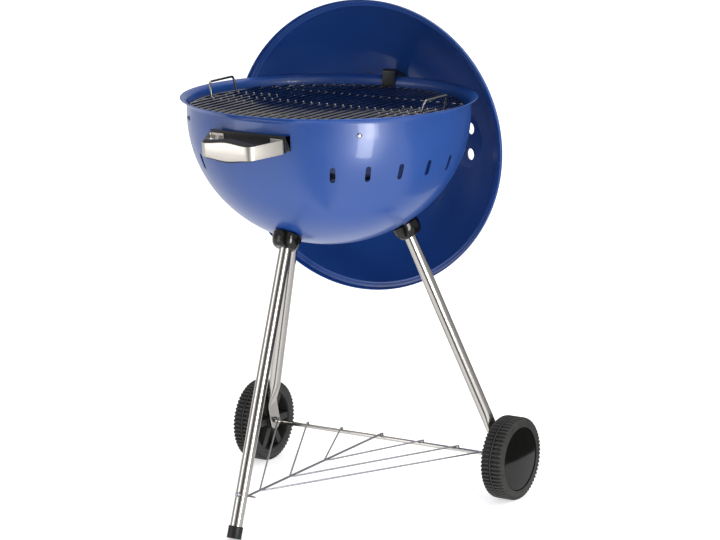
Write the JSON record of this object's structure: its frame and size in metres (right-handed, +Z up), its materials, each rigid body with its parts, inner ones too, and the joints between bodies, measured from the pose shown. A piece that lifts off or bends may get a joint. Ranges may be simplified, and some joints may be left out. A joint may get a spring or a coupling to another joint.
{
  "type": "kettle charcoal barbecue",
  "caption": "Floor-standing kettle charcoal barbecue on three legs with wheels, wire rack, cooking grate, side handle and a vented lid hung behind the bowl.",
  "frame": {"origin": "on the ground, in the middle of the outer box; the axis of the bowl is 45 mm towards -Y from it", "axes": "+Z up, -Y towards the front leg and the bowl handle, X along the axle with +X to the right seen from the front leg"},
  "size_m": [0.6572, 0.822, 1.009],
  "materials": {
    "enamel": "glossy blue vitreous enamel on sheet steel",
    "steel": "bright stainless tube, finely brushed along its length",
    "satin_steel": "warm satin stainless strip",
    "zinc": "bright zinc-plated steel",
    "chrome_wire": "plated wire, bright on its top side",
    "black_steel": "black coated steel strip",
    "black_plastic": "black heat-resistant plastic, slightly rough",
    "gloss_black": "glossy black plastic",
    "tyre_plastic": "hard black plastic wheel"
  },
  "bodies": {
    "frame": {"bowl": "enamel", "grate_support_1": "zinc", "support_screw_1": "zinc", "grate_support_2": "zinc", "support_screw_2": "zinc", "grate_support_3": "zinc", "support_screw_3": "zinc", "grate_support_4": "zinc", "support_screw_4": "zinc", "leg_front": "steel", "leg_rear_right": "steel", "leg_rear_left": "steel", "leg_socket_front": "gloss_black", "leg_socket_rear_right": "gloss_black", "leg_socket_rear_left": "gloss_black", "leg_bolt_front": "zinc", "leg_bolt_rear_right": "zinc", "leg_bolt_rear_left": "zinc", "foot_cap": "black_plastic", "axle": "zinc", "push_nut_right": "zinc", "push_nut_left": "zinc", "wire_rack": "zinc", "rack_nut": "zinc", "bowl_handle_back_plate": "black_plastic", "bowl_handle_grip": "black_plastic", "bowl_handle_band": "satin_steel", "bowl_handle_screw_1": "zinc", "bowl_handle_screw_2": "zinc", "bowl_handle_screw_3": "zinc", "bowl_handle_screw_4": "zinc", "bowl_handle_nut_1": "zinc", "bowl_handle_nut_2": "zinc", "bowl_handle_nut_3": "zinc", "bowl_handle_nut_4": "zinc"},
    "wheel_right_body": {"wheel_right": "tyre_plastic", "hub_cap_right": "gloss_black"},
    "wheel_left_body": {"wheel_left": "tyre_plastic", "hub_cap_left": "gloss_black"},
    "cooking_grate_body": {"cooking_grate": "chrome_wire"},
    "charcoal_grate_body": {"charcoal_grate": "chrome_wire"},
    "lid_body": {"lid_shell": "enamel", "lid_hook": "black_steel", "hook_rivet_1": "zinc", "hook_rivet_2": "zinc", "damper_pivot": "zinc", "lid_handle_back_plate": "black_plastic", "lid_handle_grip": "black_plastic", "lid_handle_band": "satin_steel", "lid_handle_screw_1": "zinc", "lid_handle_screw_2": "zinc", "lid_handle_screw_3": "zinc", "lid_handle_screw_4": "zinc", "lid_handle_nut_1": "zinc", "lid_handle_nut_2": "zinc", "lid_handle_nut_3": "zinc", "lid_handle_nut_4": "zinc"},
    "damper_body": {"lid_damper": "satin_steel"}
  },
  "joints": [
    {"name": "wheel_right_spin", "type": "hinge", "parent": "frame", "child": "wheel_right_body", "pos_m": [0.3046, 0.16248, 0.0855], "axis": [1, 0, 0], "continuous": true},
    {"name": "wheel_left_spin", "type": "hinge", "parent": "frame", "child": "wheel_left_body", "pos_m": [-0.3046, 0.16248, 0.0855], "axis": [1, 0, 0], "continuous": true},
    {"name": "lid_lift", "type": "slide", "parent": "frame", "child": "lid_body", "axis": [0, 0, 1], "range_m": [0, 0.15]},
    {"name": "lid_damper_turn", "type": "hinge", "parent": "lid_body", "child": "damper_body", "pos_m": [0.11935, 0.29075, 0.708], "axis": [0.3994, 0.9168, 0], "range_deg": [0, 60]},
    {"name": "cooking_grate_lift", "type": "slide", "parent": "frame", "child": "cooking_grate_body", "axis": [0, 0, 1], "range_m": [0, 0.07]},
    {"name": "charcoal_grate_lift", "type": "slide", "parent": "frame", "child": "charcoal_grate_body", "axis": [0, 0, 1], "range_m": [0, 0.15]}
  ]
}
